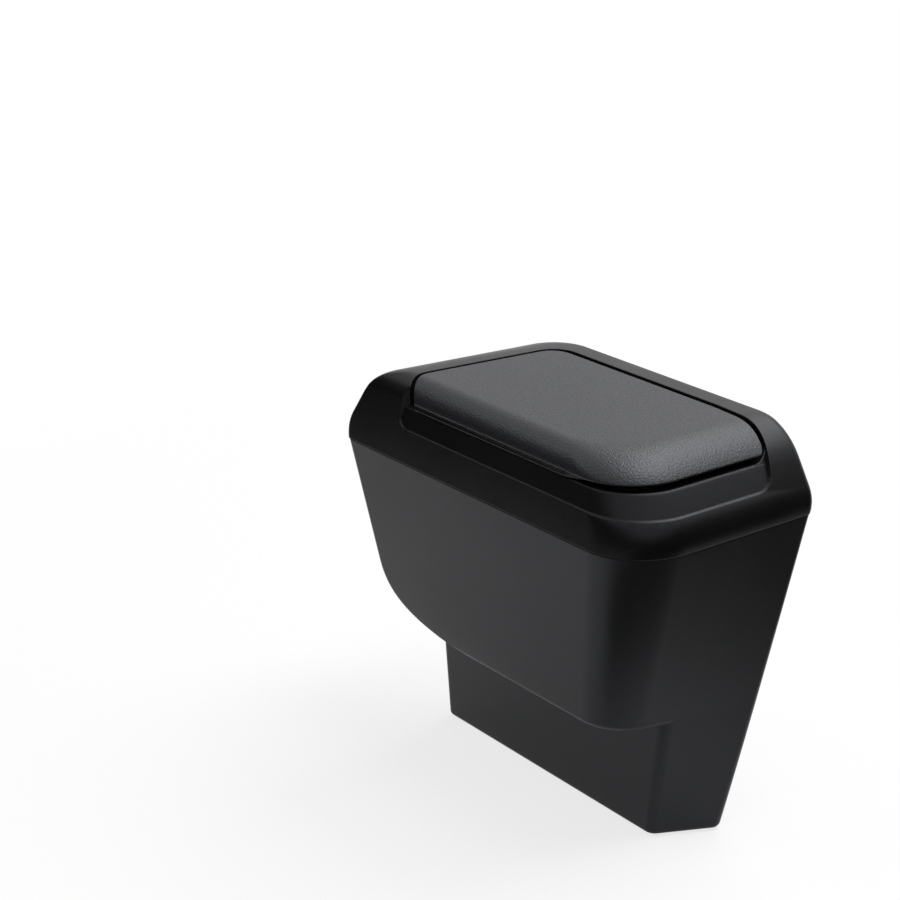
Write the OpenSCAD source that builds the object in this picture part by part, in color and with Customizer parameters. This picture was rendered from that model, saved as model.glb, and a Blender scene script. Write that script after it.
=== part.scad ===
// Side bin for a car: a moulded tub with a narrow leg, a rim cover and a hinged lid.
// The floor is z = 0. X runs along the bin towards its near end, Y towards its hidden long side.

/* [Rim] */
// Length over the widest part of the rim
rim_l = 246.1; // [220:1:280]
// Width over the rim
rim_w = 126.5; // [120:1:150]
// Height of the rim above the parting line
rim_h = 46.5; // [44:0.5:56]
// Length of the flat part of the top
top_flat_l = 163.3; // [140:0.1:168]
// Radius of the rounded shoulder at each end
shoulder_r = 36; // [32:1:38]
// How far the shoulder turns before its straight flank, in degrees
shoulder_turn = 60; // [55:1:64]
// Radius that brings the flank back to upright
flank_r = 18; // [14:1:22]
// Radius of the long edge on the open side
side_edge_r = 14; // [10:1:16]
// Lean of the open long side below that edge, in degrees
side_lean = 8; // [4:0.5:9]
// Radius of the hidden long edge
back_edge_r = 3; // [2:0.5:6]
// Lean of the hidden long side of the rim, in degrees
back_lean = 2; // [1:0.5:4]
// How far the far end slants in plan, in degrees
far_slant = 5.7; // [4:0.1:7]
// Plan radius of the large near corner
near_corner_r = 35; // [25:1:40]
// Plan radius of the near corner on the hidden side
back_corner_r = 4.8; // [4.6:0.1:8]
// Plan radius of the far corner on the hidden side
far_back_corner_r = 20; // [12:1:24]
// Plan radius of the far corner on the open side
far_corner_r = 5; // [4.6:0.1:8]
// Wall of the rim cover
rim_wall = 2.5; // [2:0.1:2.8]

/* [Lid recess] */
// Height of the ledge above the parting line
ledge_z = 18.8; // [15:0.2:21]
// Width of the ledge step
ledge_step = 1.6; // [1:0.1:2]
// Radius of the ledge's outer edge
ledge_r = 0.9; // [0.5:0.1:1]
// Height of the plateau under the lid
plateau_z = 30.2; // [29:0.1:30.6]
// Radius of the plateau's outer edge
plateau_r = 0.6; // [0.4:0.1:1]
// Gap between the lid and the far wall of its recess
lid_gap = 2.8; // [2.4:0.1:3.2]
// Gap between the lid and the hidden wall of its recess
back_gap = 3.9; // [3:0.1:4.4]
// Radius of the plateau's corner at the hidden wall
plateau_corner_r = 8; // [5:0.5:9]
// Distance of the flare's start from the far wall of the recess
flare_x = 5.2; // [4:0.2:8]
// Distance of the flare's start from the open side of the rim
flare_y = 8; // [6:0.5:12]
// How far the far wall of the recess turns out there, in degrees
flare_turn = 39; // [20:1:45]
// Radius of the notch's lower corner at that wall
flare_r = 6.5; // [4:0.5:8]
// Distance of the mouth from the hinge axis
mouth_from_hinge = 25; // [25:0.5:30]
// Length of the mouth
mouth_l = 126; // [100:1:130]
// Distance of the mouth from the open side of the rim
mouth_from_side = 17; // [16:0.5:24]
// Distance of the mouth from the hidden side of the rim
mouth_from_back = 29.5; // [28:0.5:36]
// Corner radius of the mouth
mouth_r = 18; // [10:1:24]
// Depth of the collar below the plateau
collar_d = 13; // [11:1:16]
// Wall of the collar
collar_wall = 2; // [1.6:0.1:2.4]

/* [Lid] */
// Distance of the lid from the open long side of the rim
lid_from_side = 2.8; // [2.4:0.1:3.2]
// Width of the rim band along the hidden side, up to the lid
back_band = 19.2; // [18:0.1:20]
// Distance of the lid from the far end of the rim, along the open side
lid_from_far = 49.1; // [45:0.1:50]
// Plan radius of the lid's far corner on the open side
lid_corner_r = 19; // [16:1:22]
// Plan radius of the lid's far corner on the hidden side
lid_back_corner_r = 13; // [10:1:14]
// How far from the shoulder's start the hidden edge of the lid bends
bend_x = 17.5; // [12:0.5:20]
// How much that edge has moved in there
bend_in = 2.4; // [2:0.1:5]
// Radius of the bend
lid_bend_r = 50; // [30:5:60]
// Slope of the hidden edge past the bend
end_slope = 0.42; // [0.2:0.01:0.5]
// Slope of the recess's hidden wall past the bend
notch_slope = 0.55; // [0.4:0.01:0.6]
// Radius of the notch's lower corner in the near end
notch_r = 7; // [4:0.5:9]
// Height of the lower edge of the grained cover above the plateau
finger_gap = 3.2; // [3:0.1:5.4]
// Radius of the cover's lower edge
cover_edge_r = 1.5; // [1:0.1:1.8]
// Radius of the cover's lower corner at the hidden wall
cover_corner_r = 4.5; // [3:0.5:5]
// Clearance between the lid liner and the plateau
lid_lift = 1.2; // [1:0.1:1.4]
// Wall of the grained cover
cover_wall = 2.5; // [2:0.1:2.8]
// Thickness of the lid liner
liner_t = 1.6; // [1.4:0.1:1.8]
// How far the liner stops short of the near end
finger_d = 13; // [11:1:16]
// Radius of the liner's open near corner
liner_corner_r = 42; // [30:1:46]

/* [Hinge] */
// Distance of the hinge axis from the edge of the lid
hinge_in = 14; // [14:0.5:15]
// Depth of the hinge axis below the top
hinge_drop = 5.5; // [5.3:0.1:5.6]
// Diameter of the hinge pin
pin_d = 3; // [2.6:0.1:3.2]
// Radial clearance of the pin in its bores
pin_fit = 0.05; // [0.03:0.01:0.08]
// Outer radius of the hinge knuckles
knuckle_r = 3.5; // [3.3:0.1:3.6]
// Distance of the bracket ears from the sides of the rim
hinge_from_side = 27.2; // [25:0.2:32]
// Thickness of each ear
ear_t = 6; // [5:0.5:7]
// Length of each lid knuckle
knuckle_l = 8; // [6:0.5:9]
// Room in the trough beside the ears, on the open side
trough_room_open = 17.2; // [16:0.2:20]
// Room in the trough beside the ears, on the hidden side
trough_room_back = 7.2; // [5:0.1:7.6]
// Length of the trough past the hinge axis
trough_out = 16; // [15.6:0.2:18]
// Distance of the bracket's screws from the hinge axis
bracket_screw_x = 10; // [9:0.5:11]
// Distance of those screws from the inner faces of the ears
bracket_screw_in = 10; // [6:0.5:14]
// Thickness of the bracket foot
bracket_t = 2; // [1.8:0.1:2.2]

/* [Body] */
// Depth of the belly below the parting line
belly_d = 103.3; // [98:0.5:108]
// Wall of the body
body_wall = 2.5; // [2:0.1:3]
// How far the body stands back from the rim at the parting line
body_reveal = 0.3; // [0.2:0.1:0.6]
// Lean of the open long side, in degrees
side_draft = 4.6; // [3.5:0.1:5.5]
// Lean of the hidden long side, in degrees
back_draft = 15.4; // [14.8:0.1:16]
// Lean of the far end, in degrees
far_draft = 15.9; // [14:0.1:18]
// Lean of the near end along the open side, in degrees
end_draft = 11.9; // [10:0.1:13]
// Lean of the near end along the hidden side, in degrees
end_back_draft = 1.5; // [1:0.1:4]
// Height of the rounding at the far lower corner
heel_h = 33.3; // [28:0.5:38]
// Length of that rounding along the bottom
heel_l = 120; // [100:1:130]
// Radius of the lower edge of the belly
belly_edge_r = 2.5; // [1.5:0.1:3]
// Thickness of the rib under the rim that locates it in the body
rib_t = 1.6; // [1.4:0.1:2]
// Height of that rib below the parting line
rib_h = 8; // [5:0.5:12]
// Clearance of the rib in the body
rib_fit = 0.3; // [0.2:0.05:0.4]
// Height of the groove at the parting line
groove_h = 0.5; // [0.4:0.1:0.8]
// Depth of the groove at the parting line
groove_w = 1.2; // [0.8:0.1:1.5]

/* [Leg] */
// Depth of the leg below the parting line
leg_d = 172; // [160:1:178]
// Distance of the leg's open side from the middle of the bin
leg_y = 22.8; // [20:0.2:24]
// Distance of the leg's far end from the middle, at its foot
leg_l = 79.5; // [78:0.5:86]
// Lean of the leg's far end, in degrees
leg_draft = 6.5; // [4:0.1:8]
// Corner radius of the leg
leg_r = 5; // [4:0.5:8]
// Radius of its far corner on the hidden side
leg_back_r = 18; // [14:1:20]
// How far the leg's wall runs up inside the belly
leg_up = 22; // [18:1:26]
// Radius round the foot
foot_r = 2.8; // [2.6:0.1:4]
// Length of the rubber foot
pad_l = 150; // [100:1:152]
// Width of the rubber foot
pad_w = 22; // [14:0.5:23]
// Thickness of the rubber foot
pad_t = 2; // [1.8:0.1:2.2]
// How far the rubber foot stands proud
pad_proud = 1; // [0.5:0.1:1.2]
// Clearance round the rubber foot
pad_fit = 0.2; // [0.1:0.05:0.4]

/* [Bag ring] */
// Width of the ring's flange
flange_w = 4; // [3:0.2:4.4]
// Thickness of the ring
ring_t = 1.6; // [1.4:0.1:1.8]
// Depth of the ring's skirt
ring_d = 11; // [6:0.5:12]
// Clearance of the ring in the mouth
ring_fit = 0.4; // [0.3:0.05:0.6]

/* [Small parts] */
// Thread diameter of the screws
screw_d = 3; // [2.6:0.1:3.2]
// Head diameter of the screws
head_d = 5.6; // [5:0.1:6]
// Head height of the screws
head_h = 1.6; // [1.4:0.1:1.8]
// Length of the screws under the head
screw_l = 7; // [6:0.5:8]
// Clearance of a screw in its boss
screw_fit = 0.05; // [0.03:0.01:0.1]
// Distance of the lid's far screws from the end of the mouth
lid_screw_far = 12; // [10:1:20]
// Distance of the lid's near screws from the end of the mouth
lid_screw_near = 26; // [22:1:34]
// Distance of the lid's screws from the sides of the mouth
lid_screw_side = 9; // [8:0.5:14]
// Wall of a screw boss
boss_wall = 2; // [1.6:0.1:2.4]
// Head diameter of the rubber bumpers
bumper_d = 4.4; // [3.6:0.1:4.6]
// Stem diameter of the rubber bumpers
stem_d = 2.6; // [2:0.1:3]

/* [Hidden] */
$fn = 32;
arc_n = 6;
parting_z = leg_d + pad_proud;
far_slope = tan(far_slant);
half_w = rim_w / 2;
seat_gap = 0.3;

// Centres of the two arcs that make the end profile of the rim
shoulder_x = top_flat_l / 2;
shoulder_z = rim_h - shoulder_r;
flank_x = rim_l / 2 - flank_r;
turn_z = shoulder_z + shoulder_r * cos(shoulder_turn);
turn_x = shoulder_x + shoulder_r * sin(shoulder_turn);
flank_top_x = flank_x + flank_r * sin(shoulder_turn);
flank_top_z = turn_z - (flank_top_x - turn_x) * tan(shoulder_turn);
flank_z = flank_top_z - flank_r * cos(shoulder_turn);

// Half length of the rim at a height, w inside its skin
function end_x(z, w) =
    z > turn_z - w * cos(shoulder_turn)
        ? shoulder_x + sqrt(max(0, pow(shoulder_r - w, 2) - pow(z - shoulder_z, 2)))
    : z > flank_top_z - w * cos(shoulder_turn)
        ? flank_top_x - w / sin(shoulder_turn) - (z - flank_top_z) / tan(shoulder_turn)
    : flank_x + sqrt(pow(flank_r - w, 2) - pow(min(abs(z - flank_z), flank_r - w - 1), 2));

// Half width of the rim at a height, for a long side with an edge radius and a lean
function side_y(z, w, r, lean) =
    let(cz = rim_h - r, cy = half_w - cz * tan(lean) - r / cos(lean))
    z > cz + (r - w) * sin(lean)
        ? cy + sqrt(max(0, pow(r - w, 2) - pow(z - cz, 2)))
        : half_w - z * tan(lean) - w / cos(lean);

function unit(v) = v / norm(v);
function mix(a, b, t) = a + (b - a) * t;

// Points of the arc of radius r that rounds corner b between a and c
function corner(a, b, c, r, k) =
    let(u = unit(a - b), v = unit(c - b), half = acos(u * v) / 2,
        m = b + unit(u + v) * r / sin(half),
        s = b + u * r / tan(half) - m,
        first = atan2(s[1], s[0]))
    [for (i = [0:k]) m + r * [cos(first + (180 - 2 * half) * i / k), sin(first + (180 - 2 * half) * i / k)]];
function outline(c, r, k = arc_n) =
    let(m = len(c))
    [for (q = [0:m - 1]) each corner(c[(q + m - 1) % m], c[q], c[(q + 1) % m], r[q], k)];
function ring(c, r, z) = [for (p = outline(c, r)) [p[0], p[1], z]];

// A point on a line that slants in plan as the far end does, x measured where that end's open corner turns
far_turn = far_corner_r * ((1 + sin(far_slant)) / cos(far_slant) - 1);
function far_point(x, y) = [x - far_turn + far_slope * (y + half_w), y];

// Closed solid through a stack of rings, the lowest ring first
module loft(rings) {
    k = len(rings[0]);
    m = len(rings);
    side_a = [for (i = [0:m - 2], j = [0:k - 1])
        [(i + 1) * k + j, (i + 1) * k + (j + 1) % k, i * k + (j + 1) % k]];
    side_b = [for (i = [0:m - 2], j = [0:k - 1])
        [(i + 1) * k + j, i * k + (j + 1) % k, i * k + j]];
    caps = [[for (j = [0:k - 1]) j], [for (j = [k - 1:-1:0]) (m - 1) * k + j]];
    polyhedron(points = [for (r = rings) each r], faces = concat(side_a, side_b, caps));
}

module at_parting() {
    translate([0, 0, parting_z]) children();
}

// Cylinder along Y, centred on y0
module y_cylinder(r, l, y0 = 0) {
    translate([0, y0 + l / 2, 0]) rotate([90, 0, 0]) cylinder(r = r, h = l);
}

// The rim as one rounded loaf, w inside its skin; the rib under it is rooted at root_h
root_h = 3;
function loaf_ring(z, w) =
    let(x = end_x(z, w), y0 = -side_y(z, w, side_edge_r, side_lean), y1 = side_y(z, w, back_edge_r, back_lean))
    ring([far_point(-x, y0), [x, y0], [x, y1], far_point(-x, y1)],
        [far_corner_r - min(w, 4), near_corner_r - w, back_corner_r - min(w, 4), far_back_corner_r - w], z);
function loaf_levels(w, z0, z1) =
    let(arc = [for (a = [shoulder_turn:-7.5:0]) shoulder_z + (shoulder_r - w) * cos(a)],
        low = [root_h, flank_z, flank_z + 3, flank_z + 6, flank_top_z])
    concat([z0], [for (z = concat(low, arc)) if (z > z0 + 0.4 && z < z1 - 0.25) z], [z1]);
module loaf(w, z0, z1) {
    loft([for (z = loaf_levels(w, z0, min(z1, rim_h - w))) loaf_ring(z, w)]);
}

// Plan of the lid, grown by e and by b on the hidden side; its near end runs on past the rim, and bends in where
// it leaves the flat top
lid_y0 = half_w - lid_from_side;
lid_y1 = half_w - back_band;
lid_far_x = lid_from_far - rim_l / 2;
past_end = rim_l / 2 + lid_from_side + near_corner_r / 2;
function hidden_slope(b) = b > 0 ? notch_slope : end_slope;
function lid_plan(e, b) =
    outline([
        far_point(lid_far_x - e, -lid_y0 - e),
        [past_end, -lid_y0 - e],
        [past_end, lid_y1 - bend_in - hidden_slope(b) * (past_end - shoulder_x - bend_x) + b],
        [shoulder_x + bend_x, lid_y1 - bend_in + b],
        [shoulder_x - bend_x, lid_y1 + b],
        far_point(lid_far_x - e, lid_y1 + b)],
        [lid_corner_r + e, 1, 1, lid_bend_r + e, 2 * lid_bend_r + e, lid_back_corner_r + e]);
module lid_prism(e, b, z0, z1) {
    translate([0, 0, z0]) linear_extrude(z1 - z0) polygon(lid_plan(e, b));
}

// Hinge frame: its origin is on the axis, Y along it and X into the lid
hinge_z = rim_h - hinge_drop;
hinge_x = far_point(lid_far_x, 0)[0] + hinge_in / cos(far_slant);
module at_axis() {
    translate([hinge_x, 0, hinge_z]) rotate([0, 0, -far_slant]) children();
}
module at_hinge() {
    at_parting() at_axis() children();
}
tail_r = norm([hinge_in, hinge_drop]);
foot_top = -tail_r + 0.1;
trough_floor = foot_top - bracket_t;
trough_in = hinge_in + lid_gap;
hinge_span = rim_w - 2 * hinge_from_side;
trough_y0 = -hinge_span / 2 - trough_room_open;
trough_y1 = hinge_span / 2 + trough_room_back;

// Trough in the plateau that the tail of the lid swings into, grown by g
module trough(g) {
    at_axis() translate([-trough_in - g, trough_y0 - g, trough_floor - g])
        cube([trough_in + trough_out + 2 * g, trough_y1 - trough_y0 + 2 * g,
            plateau_z + seat_gap - hinge_z - trough_floor + 2 * g]);
}

// The mouth, grown by e
mouth_x0 = hinge_x + mouth_from_hinge;
mouth_w = rim_w - mouth_from_side - mouth_from_back;
mouth_mid_y = (mouth_from_side - mouth_from_back) / 2;
module mouth(e, z0, z1) {
    x0 = mouth_x0 - e;
    x1 = mouth_x0 + mouth_l + e;
    y0 = mouth_mid_y - mouth_w / 2 - e;
    y1 = mouth_mid_y + mouth_w / 2 + e;
    r = mouth_r + e;
    translate([0, 0, z0]) linear_extrude(z1 - z0)
        polygon(outline([[x0, y0], [x1, y0], [x1, y1], [x0, y1]], [r, r, r, r]));
}

// Body sections: d is the depth below the parting line, w the distance inside the skin
body_x = end_x(0, 0) - body_reveal;
body_y = half_w - body_reveal;
function back_y(d) = body_y - d * tan(back_draft);
function front_y(d) = -body_y + d * tan(side_draft);
function tub_x(d) = -body_x + d * tan(far_draft);
function near_end_x(d, y) =
    mix(body_x - d * tan(end_draft), body_x - d * tan(end_back_draft),
        (y - front_y(d)) / (back_y(d) - front_y(d)));
function tub_ring(x0, d, w) =
    let(y0 = front_y(d) + w, y1 = back_y(d) - w)
    ring([far_point(x0 + w, y0), [near_end_x(d, y0) - w, y0], [near_end_x(d, y1) - w, y1], far_point(x0 + w, y1)],
        [far_corner_r - min(w, 3), near_corner_r - 0.06 * d - w,
         back_corner_r - min(w, 3), far_back_corner_r - w], -d);
function bezier(p, t) =
    pow(1 - t, 3) * p[0] + 3 * pow(1 - t, 2) * t * p[1] + 3 * (1 - t) * t * t * p[2] + t * t * t * p[3];

// The heel rounds the far end into the bottom
heel_d = belly_d - heel_h;
heel_pull = heel_h * 0.66;
function heel(w) =
    [[tub_x(heel_d), heel_d], [tub_x(heel_d + heel_pull), heel_d + heel_pull - w * 0.7],
     [tub_x(heel_d) + heel_l * 0.25, belly_d - w], [tub_x(heel_d) + heel_l, belly_d - w]];
function edge_inset(h, r) = h < r ? r - sqrt(r * r - pow(r - h, 2)) : 0;
module tub(w, top) {
    edge_r = w > 0 ? 0 : belly_edge_r;
    curve = [for (t = [1:-0.125:0]) bezier(heel(w), t)];
    lower = [for (p = curve) tub_ring(p[0], p[1], w + edge_inset(belly_d - w - p[1], edge_r))];
    upper = [for (s = [0.7, 0.4]) tub_ring(tub_x(heel_d * s), heel_d * s, w)];
    loft(concat(lower, upper, [tub_ring(tub_x(top), top, w)]));
}
// The leg's upper end runs a little way up inside the belly
leg_top = belly_d - leg_up;
leg_in = 1;
function leg_ring(d, w) =
    let(y0 = -leg_y + w, y1 = back_y(d) - w, r = leg_r - min(w, 3), x0 = -leg_l - (leg_d - d) * tan(leg_draft) + w)
    ring([[x0, y0], [near_end_x(d, y0) - w, y0], [near_end_x(d, y1) - w, y1], [x0 + far_slope * (y1 - y0), y1]],
        [r, r + 2, r, leg_back_r - w], -d);
module leg(w) {
    r = max(foot_r - w, 0.3);
    foot = [for (a = [0:22.5:90]) leg_ring(leg_d - w - r + r * cos(a), w + r - r * sin(a))];
    loft(concat(foot, [for (t = [0.65, 0.33, 0]) leg_ring(mix(belly_d - belly_edge_r, leg_d, t), w)],
        [leg_ring(leg_top + w, w + leg_in)]));
}

// The rubber foot's place, grown by e
pad_x = 5.6;
pad_y = (back_y(leg_d) - leg_y) / 2;
pad_r = 5;
module pad(e) {
    translate([pad_x - pad_l / 2 - e, pad_y - pad_w / 2 - e, 0])
        linear_extrude(pad_t) polygon(outline(
            [[0, 0], [pad_l + 2 * e, 0], [pad_l + 2 * e, pad_w + 2 * e], [0, pad_w + 2 * e]],
            [pad_r, pad_r, pad_r, pad_r]));
}

module body_shell() {
    color([0.10, 0.10, 0.105])
        difference() {
            at_parting() union() {
                tub(0, groove_h);
                leg(0);
            }
            at_parting() union() {
                tub(body_wall, -1);
                leg(body_wall);
            }
            pad(pad_fit);
        }
}

// Rubber foot pressed into the underside of the leg
module foot_pad() {
    color([0.06, 0.06, 0.06]) pad(0);
}

// Rib under the rim: it seats on the body's edge and drops inside its wall
rib_in = body_wall + rib_fit;
module locating_rib() {
    difference() {
        loft([tub_ring(tub_x(rib_h), rib_h, rib_in), tub_ring(tub_x(groove_h), groove_h, rib_in),
            tub_ring(tub_x(groove_h), groove_h, groove_w), loaf_ring(root_h, groove_w)]);
        loft([tub_ring(tub_x(rib_h), rib_h + 1, rib_in + rib_t), tub_ring(tub_x(groove_h), groove_h, rib_in + rib_t),
            loaf_ring(root_h + 1, rib_in + rib_t)]);
    }
}

// The rim cover: the loaf with its recess, plateau, trough and mouth, hollow below
rim_in = rim_wall + ledge_step;
module rim_form() {
    difference() {
        loaf(0, 0, rim_h);
        difference() {
            union() {
                lid_prism(lid_gap, back_gap, ledge_z - ledge_r, rim_h + 1);
                flare(0, ledge_z - ledge_r);
            }
            ledge();
            pedestal();
            hidden_corner(notch_r, back_gap, ledge_z);
            intersection() {
                hidden_corner(plateau_corner_r, back_gap, plateau_z);
                loaf(ledge_step, plateau_z - 2 * ledge_r, rim_h);
            }
            flare_corner();
        }
        trough(0);
    }
}

// The ledge and the pedestal on it, with rounded outer edges
function edge_rings(z, w, r, a0) =
    [for (a = [a0:22.5:90]) loaf_ring(z - r * (1 - sin(a)), w + r * (1 - cos(a)))];
module ledge() {
    loft(concat([loaf_ring(ledge_z - 2 * ledge_r, 0)], edge_rings(ledge_z, 0, ledge_r, 0)));
}
module pedestal() {
    levels = loaf_levels(ledge_step, ledge_z - 2 * ledge_r, plateau_z - plateau_r);
    loft(concat([for (z = levels) loaf_ring(z, ledge_step)], edge_rings(plateau_z, ledge_step, plateau_r, 22.5)));
}

// Where the far wall of the recess turns out towards the open side, grown by e
flare_at = far_point(lid_far_x - lid_gap + flare_x, -half_w + flare_y);
flare_l = 2 * flare_y;
module flare(e, z0) {
    out = flare_l * tan(flare_turn);
    translate([flare_at[0], flare_at[1], z0]) linear_extrude(rim_h + 1 - z0)
        polygon([[-e / cos(flare_turn), e], [-out - e / cos(flare_turn), -flare_l], [lid_corner_r, -flare_l],
            [lid_corner_r, e]]);
}

// What fills the lower corner beside a wall, rounded with radius r
module corner_bar(r, l) {
    linear_extrude(l) difference() {
        translate([-r, -ledge_r]) square([r + 1, r + ledge_r]);
        translate([-r, r]) circle(r);
    }
}
module hidden_corner(r, b, z) {
    translate([shoulder_x + bend_x, lid_y1 - bend_in + b, z])
        rotate([0, 0, -atan(hidden_slope(b))]) rotate([90, 0, 90]) corner_bar(r, rim_l / 2);
}
module flare_corner() {
    translate([flare_at[0], flare_at[1], ledge_z])
        rotate([0, 0, -90 - flare_turn]) rotate([90, 0, 90]) mirror([1, 0, 0]) corner_bar(flare_r, 2 * flare_l);
}
module rim_hollow() {
    difference() {
        loaf(rim_in, -1, rim_h - rim_wall);
        lid_prism(lid_gap + rim_wall, back_gap + rim_wall, plateau_z - rim_wall, rim_h + 1);
        flare(rim_wall, ledge_z - rim_wall);
        trough(rim_wall);
    }
}
bracket_screw_at = hinge_span / 2 - ear_t - bracket_screw_in;
bracket_screw_y = [-bracket_screw_at, bracket_screw_at];
module at_bracket_screws() {
    at_hinge() for (y = bracket_screw_y)
        translate([bracket_screw_x, y, foot_top]) children();
}

// Two rubber bumpers stop the lid; they are pressed into the plateau beside the mouth
bumper_x = 61.6;
bumper_y = [(mouth_mid_y - mouth_w / 2 - flange_w - ring_fit - side_y(plateau_z, ledge_step, side_edge_r, side_lean)) / 2,
    (mouth_mid_y + mouth_w / 2 + flange_w + ring_fit + lid_y1) / 2];
module at_bumpers() {
    at_parting() for (y = bumper_y)
        translate([bumper_x, y, plateau_z]) children();
}
module rim_cover() {
    color([0.085, 0.085, 0.09])
        difference() {
            union() {
                at_parting() difference() {
                    rim_form();
                    rim_hollow();
                }
                at_parting() locating_rib();
                at_parting() mouth(collar_wall, plateau_z - collar_d, plateau_z - ring_t - 0.5);
                at_bracket_screws()
                    translate([0, 0, -bracket_t - screw_l - 1]) cylinder(d = screw_d + 2 * boss_wall, h = screw_l);
            }
            at_parting() mouth(0, 0, rim_h);
            at_parting() mouth(flange_w + ring_fit, plateau_z - ring_t, rim_h);
            at_bracket_screws() translate([0, 0, -screw_l]) cylinder(r = screw_d / 2 + screw_fit, h = screw_l + 1);
            at_bumpers() translate([0, 0, -rim_wall - 1]) cylinder(d = stem_d, h = rim_wall + 2);
        }
}

// Loose ring that clamps the edge of a bag in the mouth
module bag_ring() {
    inner = -ring_fit - ring_t;
    color([0.16, 0.16, 0.17])
        at_parting() difference() {
            union() {
                mouth(flange_w, plateau_z - ring_t, plateau_z);
                mouth(-ring_fit, plateau_z - ring_t - ring_d, plateau_z);
            }
            mouth(inner, 0, rim_h);
        }
}

// Bracket with two ears that carry the pin, screwed to the floor of the trough
ear_back = 0.2;
ear_front = 9;
module ears() {
    for (s = [-1, 1])
        translate([0, s * (hinge_span - ear_t) / 2 + ear_t / 2, 0]) rotate([90, 0, 0]) linear_extrude(ear_t)
            union() {
                circle(knuckle_r);
                polygon([[-knuckle_r, 0], [ear_back, foot_top], [ear_front, foot_top], [knuckle_r, 0]]);
            }
}
module hinge_bracket() {
    color([0.13, 0.13, 0.14])
        difference() {
            at_hinge() difference() {
                union() {
                    ears();
                    translate([ear_back, -hinge_span / 2, trough_floor])
                        cube([trough_out - seat_gap - ear_back, hinge_span, bracket_t]);
                }
                y_cylinder(pin_d / 2 + pin_fit, hinge_span + 2);
            }
            at_bracket_screws() translate([0, 0, -bracket_t - 1]) cylinder(r = screw_d / 2 + screw_fit, h = bracket_t + 2);
        }
}

// Pan-head screw, its head standing on z = 0
slot_w = 0.8;
slot_l = 3;
module screw() {
    difference() {
        union() {
            translate([0, 0, -screw_l]) cylinder(d = screw_d, h = screw_l);
            cylinder(d = head_d, h = head_h);
        }
        translate([0, 0, head_h]) cube([slot_w, slot_l, slot_w], center = true);
        translate([0, 0, head_h]) cube([slot_l, slot_w, slot_w], center = true);
    }
}
module bracket_screws() {
    color([0.55, 0.55, 0.57]) at_bracket_screws() screw();
}

// Hinge pin with a groove near each end for its clip
pin_over = 2.4;
groove_d = pin_d - 0.8;
clip_t = 0.8;
clip_y = hinge_span / 2 + 0.2;
module hinge_pin() {
    color([0.62, 0.62, 0.64]) at_hinge() difference() {
        y_cylinder(pin_d / 2, hinge_span + 2 * pin_over);
        for (s = [-1, 1])
            difference() {
                y_cylinder(pin_d, clip_t + 0.1, s * (clip_y + clip_t / 2));
                y_cylinder(groove_d / 2, 2 * clip_t, s * (clip_y + clip_t / 2));
            }
    }
}
module pin_clips() {
    color([0.5, 0.5, 0.52]) at_hinge() for (s = [-1, 1])
        difference() {
            y_cylinder(knuckle_r - 0.4, clip_t, s * (clip_y + clip_t / 2));
            y_cylinder(groove_d / 2 + pin_fit, 2 * clip_t, s * (clip_y + clip_t / 2));
            translate([-groove_d / 2 + 0.2, s * (clip_y + clip_t / 2) - clip_t, -knuckle_r])
                cube([groove_d - 0.4, 2 * clip_t, knuckle_r]);
        }
}

// The lid as one form, w inside its skin, between two heights
module lid_form(w, z0, z1) {
    intersection() {
        loaf(w, z0, z1);
        lid_prism(-w, -w, z0 - 1, rim_h + 1);
    }
}
cover_edge_z = plateau_z + finger_gap;
liner_z = plateau_z + lid_lift;
tail_cut_r = hinge_z - plateau_z - seat_gap;

// What the tail of the lid must leave free: outside a cylinder round the axis, below and behind it
module tail_cut() {
    difference() {
        translate([-2 * hinge_in, -rim_w, -2 * hinge_in]) cube([2 * hinge_in, 2 * rim_w, 2 * hinge_in]);
        y_cylinder(tail_cut_r, 3 * rim_w);
    }
}
ear_room = 0.4;
pocket_z = knuckle_r + ear_room;
pocket_w = hinge_span + 2 * (pin_over + 1);
module hinge_pocket(out) {
    translate([-hinge_in + cover_wall, -pocket_w / 2, -2 * hinge_in])
        cube([hinge_in - cover_wall + out, pocket_w, 2 * hinge_in + pocket_z]);
}
module ear_pockets() {
    for (s = [-1, 1]) {
        inside = hinge_span / 2 - ear_t - ear_room;
        outside = hinge_span / 2 + pin_over + 1;
        translate([-2 * hinge_in, s * (inside + outside) / 2 - (outside - inside) / 2, -2 * hinge_in])
            cube([2 * hinge_in + ear_front + ear_room, outside - inside, 2 * hinge_in + pocket_z]);
    }
}
lid_screw_at = [for (x = [lid_screw_far, mouth_l - lid_screw_near], s = [-1, 1])
    [mouth_x0 + x, mouth_mid_y + s * (mouth_w / 2 - lid_screw_side)]];
module at_lid_screws() {
    at_parting() for (p = lid_screw_at)
        translate([p[0], p[1], liner_z]) children();
}
// The cover's outer form, its lower edge rounded
module cover_form() {
    turn = [for (a = [0:30:60]) loaf_ring(cover_edge_z + cover_edge_r * (1 - cos(a)), cover_edge_r * (1 - sin(a)))];
    intersection() {
        loft(concat(turn, [for (z = loaf_levels(0, cover_edge_z + cover_edge_r, rim_h)) loaf_ring(z, 0)]));
        lid_prism(0, 0, cover_edge_z - 1, rim_h + 1);
    }
}

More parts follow.
